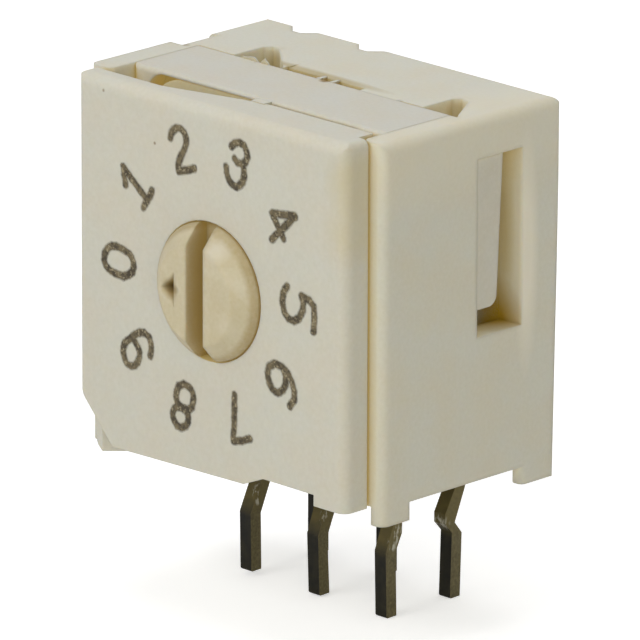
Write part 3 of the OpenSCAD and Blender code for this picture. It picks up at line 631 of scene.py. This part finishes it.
REAR_KINK = {(1.36, -1.62): (1.19, -1.78), (1.46, -1.9): (1.46, -2.12),
             (0.98, -1.72): (0.82, -1.76), (0.98, -1.52): (0.82, -1.48)}
BENDS = {
    "terminal_2": {(-1.08, -1.95): (-1.15, -2.15), (-1.46, -1.95): (-1.54, -2.1),
                   **tip(FRONT_ROW, -0.05, -3.77)},
    "terminal_common_front": {(-0.78, -1.3): (-0.74, -1.32), (-1.08, -1.95): (-1.13, -2.22),
                              (-1.46, -1.95): (-1.49, -2.15), **tip(FRONT_ROW, 0.03, -3.87)},
    "terminal_1": {(-0.78, -1.3): (-0.84, -1.6), (-1.08, -1.95): (-1.08, -2.1),
                   (-1.46, -1.95): (-1.46, -2.05), **tip(FRONT_ROW, 0.04, -3.91)},
    "terminal_8": {**REAR_KINK, **tip(REAR_ROW, 0, -3.85)},
    "terminal_common_rear": {(1.08, -2.05): (1.17, -2.05), (1.46, -1.9): (1.55, -1.9),
                             **tip(REAR_ROW, 0.09, -3.85)},
    "terminal_4": {**REAR_KINK, **tip(REAR_ROW, -0.06, -3.92)},
}
for name, moves in BENDS.items():
    shape = bmesh.new()
    shape.from_mesh(nodes[name].data)
    bmesh.ops.remove_doubles(shape, verts=shape.verts, dist=0.002 * MM)
    corners = {}
    for vertex in shape.verts:
        corner = (round(vertex.co.y / MM, 2), round(vertex.co.z / MM, 2))
        corners.setdefault(corner, []).append(vertex)
    for drawn_at, bent_to in moves.items():
        for vertex in corners[drawn_at]:
            vertex.co.yz = [c * MM for c in bent_to]
    bmesh.ops.recalc_face_normals(shape, faces=shape.faces)
    mesh = bpy.data.meshes.new(f"{name}_bent")
    shape.to_mesh(mesh)
    shape.free()
    piece = bpy.data.objects.new(f"{name}_bent", mesh)
    bpy.context.scene.collection.objects.link(piece)
    dress(piece, terminal_metal)
    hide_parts(name)
    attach(piece, "switch")

# Studio.
# A pale floor under the terminals' tips, in a white room with three large soft lamps: one in
# front, one overhead, and a warmer, weaker one at the right.
FLOOR_Z = -3.92 * MM
FLOOR_HALF = 2.0
FLOOR_GREY = 0.86
FLOOR_LIFT = 0.5
floor_mesh = bpy.data.meshes.new("floor")
floor_mesh.from_pydata([(x * FLOOR_HALF, y * FLOOR_HALF, FLOOR_Z)
                        for x, y in ((-1, -1), (1, -1), (1, 1), (-1, 1))], [], [(0, 1, 2, 3)])
floor = bpy.data.objects.new("floor", floor_mesh)
bpy.context.scene.collection.objects.link(floor)
paper = bpy.data.materials.new("floor_paper")
paper.use_nodes = True
tree = paper.node_tree
tree.nodes.clear()
matt = tree.nodes.new("ShaderNodeBsdfDiffuse")
matt.inputs["Color"].default_value = (FLOOR_GREY, FLOOR_GREY, FLOOR_GREY, 1)
# only the camera sees the floor lifted towards white
glow = tree.nodes.new("ShaderNodeEmission")
rays = tree.nodes.new("ShaderNodeLightPath")
lift = tree.nodes.new("ShaderNodeMath")
lift.operation = "MULTIPLY"
lift.inputs[1].default_value = FLOOR_LIFT
tree.links.new(rays.outputs["Is Camera Ray"], lift.inputs[0])
tree.links.new(lift.outputs[0], glow.inputs["Strength"])
both = tree.nodes.new("ShaderNodeAddShader")
tree.links.new(matt.outputs[0], both.inputs[0])
tree.links.new(glow.outputs[0], both.inputs[1])
out = tree.nodes.new("ShaderNodeOutputMaterial")
tree.links.new(both.outputs[0], out.inputs["Surface"])
floor_mesh.materials.append(paper)

# the white of the room, as the camera and the gloss see it and as it lights the switch
ROOM_SEEN, ROOM_LIGHT = 1.0, 0.45
world = bpy.data.worlds.new("studio")
bpy.context.scene.world = world
world.use_nodes = True
tree = world.node_tree
tree.nodes.clear()
sky = tree.nodes.new("ShaderNodeBackground")
rays = tree.nodes.new("ShaderNodeLightPath")
seen = tree.nodes.new("ShaderNodeMath")
seen.operation = "MAXIMUM"
tree.links.new(rays.outputs["Is Camera Ray"], seen.inputs[0])
tree.links.new(rays.outputs["Is Glossy Ray"], seen.inputs[1])
level = tree.nodes.new("ShaderNodeMapRange")
level.inputs["To Min"].default_value = ROOM_LIGHT
level.inputs["To Max"].default_value = ROOM_SEEN
tree.links.new(seen.outputs[0], level.inputs["Value"])
tree.links.new(level.outputs[0], sky.inputs["Strength"])
out = tree.nodes.new("ShaderNodeOutputWorld")
tree.links.new(sky.outputs[0], out.inputs["Surface"])


SWITCH_MIDDLE = (0, -2, 4)


def lamp(name, place, size, power, colour=(1, 1, 1)):
    """A square soft lamp at a place in millimetres that looks at the switch's middle."""
    data = bpy.data.lights.new(name, "AREA")
    data.size = size * MM
    data.energy = power
    data.color = colour
    made = bpy.data.objects.new(name, data)
    bpy.context.scene.collection.objects.link(made)
    made.location = Vector(place) * MM
    towards = Vector(SWITCH_MIDDLE) * MM - made.location
    made.rotation_euler = towards.to_track_quat("-Z", "Y").to_euler()


lamp("key", place=(-30, -155, 125), size=110, power=0.132)
lamp("overhead", place=(-10, 20, 190), size=130, power=0.115)
lamp("fill", place=(125, -110, 50), size=90, power=0.057, colour=(1, 0.95, 0.7))

# Camera.
# A long lens above and to the right of the dial, as the part was photographed. Its place and
# turn were fitted to the terminals' grid.
LENS = 634.95
CAMERA_PLACE = (204.760, -206.375, 93.560)
AZIMUTH, ELEVATION, ROLL = 44.946, 17.196, 0.157
camera_data = bpy.data.cameras.new("camera")
camera_data.sensor_width = 36
camera_data.lens = LENS
camera_data.clip_start = 0.02
camera_data.clip_end = 10
camera = bpy.data.objects.new("camera", camera_data)
bpy.context.scene.collection.objects.link(camera)
azimuth, elevation, roll = (math.radians(a) for a in (AZIMUTH, ELEVATION, ROLL))
back = Vector((math.sin(azimuth) * math.cos(elevation), -math.cos(azimuth) * math.cos(elevation),
               math.sin(elevation)))
level_right = Vector((math.cos(azimuth), math.sin(azimuth), 0))
level_up = back.cross(level_right)
right = level_right * math.cos(roll) + level_up * math.sin(roll)
up = back.cross(right)
turn = Matrix((right, up, back)).transposed().to_4x4()
camera.matrix_world = Matrix.Translation(Vector(CAMERA_PLACE) * MM) @ turn
bpy.context.scene.camera = camera

bpy.context.scene.view_settings.view_transform = "Standard"
